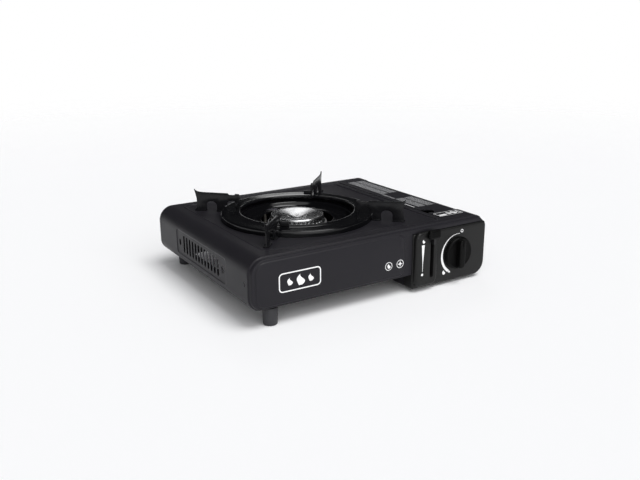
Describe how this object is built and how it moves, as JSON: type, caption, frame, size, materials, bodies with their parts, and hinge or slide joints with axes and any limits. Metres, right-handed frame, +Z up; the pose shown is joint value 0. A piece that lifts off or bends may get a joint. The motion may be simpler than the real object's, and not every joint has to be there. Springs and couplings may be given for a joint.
{
  "type": "camping stove",
  "caption": "Low tabletop gas stove: pressed casing with side vents, finned pan support over one burner, a turn knob, a lock lever and a hinged canister lid.",
  "frame": {"origin": "on the floor under the middle of the whole stove's bounding box, control knob included", "axes": "+X to the right along the control front, -Y towards the cook, +Z up"},
  "size_m": [0.338, 0.2826, 0.1097],
  "materials": {
    "paint": "satin charcoal powder coat",
    "zinc": "zinc plated",
    "pin": "polished",
    "panel_plastic": "satin black",
    "brass": "machined",
    "cast_aluminium": "cast",
    "lead": "silicone jacket",
    "ceramic": "unglazed",
    "enamel": "gloss black enamel",
    "rubber": "matt"
  },
  "bodies": {
    "casing": {"body_shell": "paint", "front_panel": "paint", "rear_panel": "paint", "base_plate": "paint", "fuel_tray": "paint", "partition": "zinc", "regulator_plate": "zinc", "hinge_pin_front": "pin", "hinge_pin_rear": "pin", "control_panel": "panel_plastic", "regulator_body": "cast_aluminium", "regulator_cap": "zinc", "canister_inlet": "brass", "gas_jet": "brass", "mixing_tube": "zinc", "air_shutter": "zinc", "piezo_igniter": "panel_plastic", "igniter_lead": "lead", "cradle_front": "zinc", "cradle_rear": "zinc", "burner_cup": "cast_aluminium", "burner_head": "pin", "burner_bracket": "zinc", "igniter_electrode": "ceramic", "spark_wire": "pin", "electrode_bracket": "zinc", "drip_bowl": "enamel", "foot_front_left": "rubber", "foot_rear_left": "rubber", "foot_front_right": "rubber", "foot_rear_right": "rubber", "foot_screw_front_left": "zinc", "foot_screw_rear_left": "zinc", "foot_screw_front_right": "zinc", "foot_screw_rear_right": "zinc", "tray_screw_front": "zinc", "tray_screw_rear": "zinc"},
    "lid": {"fuel_lid": "paint"},
    "knob": {"control_knob": "panel_plastic", "valve_shaft": "brass"},
    "lever": {"lock_lever": "zinc", "lever_tab": "panel_plastic"},
    "pusher": {"canister_pusher": "zinc"},
    "pan_support": {"pan_support_ring": "enamel", "pan_arm_front_left": "enamel", "pan_arm_front_right": "enamel", "pan_arm_rear_right": "enamel", "pan_arm_rear_left": "enamel"}
  },
  "joints": [
    {"name": "lid_hinge", "type": "hinge", "parent": "casing", "child": "lid", "pos_m": [0.1672, 0.0055, 0.034], "axis": [0, 1, 0], "range_deg": [0, 95]},
    {"name": "knob_turn", "type": "hinge", "parent": "casing", "child": "knob", "pos_m": [0.122, -0.1358, 0.0395], "axis": [0, -1, 0], "range_deg": [0, 150]},
    {"name": "lever_slide", "type": "slide", "parent": "casing", "child": "lever", "axis": [0, 0, -1], "range_m": [0, 0.036]},
    {"name": "pusher_slide", "type": "slide", "parent": "casing", "child": "pusher", "axis": [0, -1, 0], "range_m": [0, 0.0108]},
    {"name": "pan_support_lift", "type": "slide", "parent": "casing", "child": "pan_support", "axis": [0, 0, 1], "range_m": [0, 0.06]}
  ],
  "couplings": [
    {"joint": "pusher_slide", "follows": "lever_slide", "ratio": 0.3}
  ]
}
